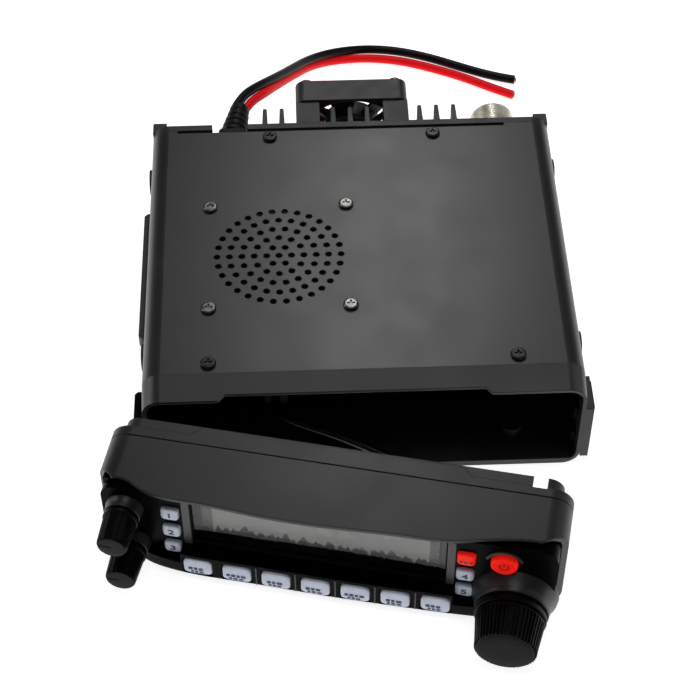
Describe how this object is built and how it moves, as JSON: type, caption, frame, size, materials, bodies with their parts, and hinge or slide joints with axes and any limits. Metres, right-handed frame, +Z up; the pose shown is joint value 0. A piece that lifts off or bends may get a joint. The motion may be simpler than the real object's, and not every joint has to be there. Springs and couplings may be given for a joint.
{
  "type": "mobile transceiver",
  "caption": "Vehicle radio transceiver: flat finned main unit with a top grille, rear fan and power leads, and a detached control head with display, keys, knobs and dial on its cable.",
  "frame": {"origin": "centre of the main unit's flat underside", "axes": "+Z up, +Y towards the fan and heat sink, the front and the control head face -Y, +X to the right seen from the front"},
  "size_m": [0.1553, 0.2879, 0.0415],
  "materials": {
    "casting": "black semi-matt paint on a die casting",
    "cover": "fine-textured charcoal paint on folded sheet",
    "black_screw": "black oxide",
    "steel_screw": "dark zinc",
    "speaker_steel": "plated pressing",
    "speaker_paper": "pressed paper",
    "circuit_board": "solder mask",
    "module_case": "moulded epoxy",
    "tinned_steel": "tinned pressing",
    "capacitor_sleeve": "shrunk sleeve",
    "black_plastic": "moulded, fine grain",
    "clear_plastic": "clear moulding, smoky",
    "fan_plastic": "glass-filled moulding",
    "fan_wire": "wire insulation",
    "nickel": "warm nickel plate",
    "white_insulator": "fluoropolymer",
    "gold_contact": "gold flash",
    "black_rubber": "moulded rubber",
    "black_lead": "soft vinyl",
    "red_lead": "soft vinyl",
    "black_cable": "soft vinyl jacket",
    "head_shell": "satin moulded plastic",
    "gloss_face": "polished black",
    "window": "clear acrylic",
    "display": "reflective grey-green",
    "white_holder": "white moulding",
    "grey_rubber": "silicone",
    "control_metal": "pressed steel",
    "knob": "satin black moulding",
    "red_key": "satin translucent",
    "white_key": "satin translucent"
  },
  "bodies": {
    "main_unit": {"antenna_contact": "gold_contact", "antenna_insulator": "white_insulator", "antenna_socket": "nickel", "bottom_cover": "cover", "bottom_screws": "black_screw", "cable_grommet": "black_rubber", "capacitors": "capacitor_sleeve", "chassis_frame": "casting", "control_cable": "black_cable", "control_jack": "black_plastic", "cover_screws": "black_screw", "data_jack": "black_plastic", "fan_frame": "fan_plastic", "fan_leads": "fan_wire", "fan_screws": "steel_screw", "front_bulkhead": "black_plastic", "main_board": "circuit_board", "microphone_jack": "black_plastic", "power_lead_black": "black_lead", "power_lead_red": "red_lead", "power_module": "module_case", "shield_can": "tinned_steel", "sound_jack": "nickel", "speaker_cone": "speaker_paper", "speaker_frame": "speaker_steel", "speaker_screws": "steel_screw", "top_cover": "cover", "unit_cable_plug": "clear_plastic"},
    "control_head": {"dial_encoder": "control_metal", "display_glass": "display", "display_holder": "white_holder", "display_window": "window", "face_panel": "gloss_face", "head_board": "circuit_board", "head_cable_plug": "clear_plastic", "head_front_shell": "head_shell", "head_jack": "black_plastic", "head_rear_shell": "head_shell", "head_screws": "black_screw", "key_mat": "grey_rubber", "knob_controls": "control_metal"},
    "fan_rotor": {"fan_rotor": "fan_plastic"},
    "volume_knob": {"volume_knob": "knob"},
    "squelch_knob": {"squelch_knob": "knob"},
    "dial_knob": {"dial_knob": "knob"},
    "power_button": {"power_button": "red_key"},
    "release_latch": {"release_latch": "black_plastic"},
    "function_key_1": {"function_key_1": "white_key"},
    "function_key_2": {"function_key_2": "white_key"},
    "function_key_3": {"function_key_3": "white_key"},
    "function_key_4": {"function_key_4": "white_key"},
    "function_key_5": {"function_key_5": "white_key"},
    "function_key_6": {"function_key_6": "white_key"},
    "function_key_7": {"function_key_7": "white_key"},
    "home_key": {"home_key": "red_key"},
    "memory_key_1": {"memory_key_1": "white_key"},
    "memory_key_2": {"memory_key_2": "white_key"},
    "memory_key_3": {"memory_key_3": "white_key"},
    "memory_key_4": {"memory_key_4": "white_key"},
    "memory_key_5": {"memory_key_5": "white_key"}
  },
  "joints": [
    {"name": "head_slide", "type": "slide", "parent": "main_unit", "child": "control_head", "axis": [-0.2212, -0.9752, 0], "range_m": [0, 0.03]},
    {"name": "fan_spin", "type": "hinge", "parent": "main_unit", "child": "fan_rotor", "pos_m": [0.0008, 0.08, 0.02015], "axis": [0, 1, 0], "continuous": true},
    {"name": "latch_press", "type": "slide", "parent": "main_unit", "child": "release_latch", "axis": [-1, 0, 0], "range_m": [0, 0.001], "stiffness_N_per_m": 1500},
    {"name": "volume_turn", "type": "hinge", "parent": "control_head", "child": "volume_knob", "pos_m": [-0.07559, -0.09752, 0.027], "axis": [-0.2212, -0.9752, 0], "range_deg": [-120, 150]},
    {"name": "squelch_turn", "type": "hinge", "parent": "control_head", "child": "squelch_knob", "pos_m": [-0.07461, -0.09774, 0.0098], "axis": [-0.2212, -0.9752, 0], "range_deg": [-120, 150]},
    {"name": "dial_turn", "type": "hinge", "parent": "control_head", "child": "dial_knob", "pos_m": [0.04115, -0.124, 0.0112], "axis": [-0.2212, -0.9752, 0], "continuous": true},
    {"name": "power_press", "type": "slide", "parent": "control_head", "child": "power_button", "axis": [0.2212, 0.9752, 0], "range_m": [0, 0.0006], "stiffness_N_per_m": 900},
    {"name": "function_key_1_press", "type": "slide", "parent": "control_head", "child": "function_key_1", "axis": [0.2212, 0.9752, 0], "range_m": [0, 0.0005], "stiffness_N_per_m": 900},
    {"name": "function_key_2_press", "type": "slide", "parent": "control_head", "child": "function_key_2", "axis": [0.2212, 0.9752, 0], "range_m": [0, 0.0005], "stiffness_N_per_m": 900},
    {"name": "function_key_3_press", "type": "slide", "parent": "control_head", "child": "function_key_3", "axis": [0.2212, 0.9752, 0], "range_m": [0, 0.0005], "stiffness_N_per_m": 900},
    {"name": "function_key_4_press", "type": "slide", "parent": "control_head", "child": "function_key_4", "axis": [0.2212, 0.9752, 0], "range_m": [0, 0.0005], "stiffness_N_per_m": 900},
    {"name": "function_key_5_press", "type": "slide", "parent": "control_head", "child": "function_key_5", "axis": [0.2212, 0.9752, 0], "range_m": [0, 0.0005], "stiffness_N_per_m": 900},
    {"name": "function_key_6_press", "type": "slide", "parent": "control_head", "child": "function_key_6", "axis": [0.2212, 0.9752, 0], "range_m": [0, 0.0005], "stiffness_N_per_m": 900},
    {"name": "function_key_7_press", "type": "slide", "parent": "control_head", "child": "function_key_7", "axis": [0.2212, 0.9752, 0], "range_m": [0, 0.0005], "stiffness_N_per_m": 900},
    {"name": "home_key_press", "type": "slide", "parent": "control_head", "child": "home_key", "axis": [0.2212, 0.9752, 0], "range_m": [0, 0.0005], "stiffness_N_per_m": 900},
    {"name": "memory_key_1_press", "type": "slide", "parent": "control_head", "child": "memory_key_1", "axis": [0.2212, 0.9752, 0], "range_m": [0, 0.0005], "stiffness_N_per_m": 900},
    {"name": "memory_key_2_press", "type": "slide", "parent": "control_head", "child": "memory_key_2", "axis": [0.2212, 0.9752, 0], "range_m": [0, 0.0005], "stiffness_N_per_m": 900},
    {"name": "memory_key_3_press", "type": "slide", "parent": "control_head", "child": "memory_key_3", "axis": [0.2212, 0.9752, 0], "range_m": [0, 0.0005], "stiffness_N_per_m": 900},
    {"name": "memory_key_4_press", "type": "slide", "parent": "control_head", "child": "memory_key_4", "axis": [0.2212, 0.9752, 0], "range_m": [0, 0.0005], "stiffness_N_per_m": 900},
    {"name": "memory_key_5_press", "type": "slide", "parent": "control_head", "child": "memory_key_5", "axis": [0.2212, 0.9752, 0], "range_m": [0, 0.0005], "stiffness_N_per_m": 900}
  ]
}
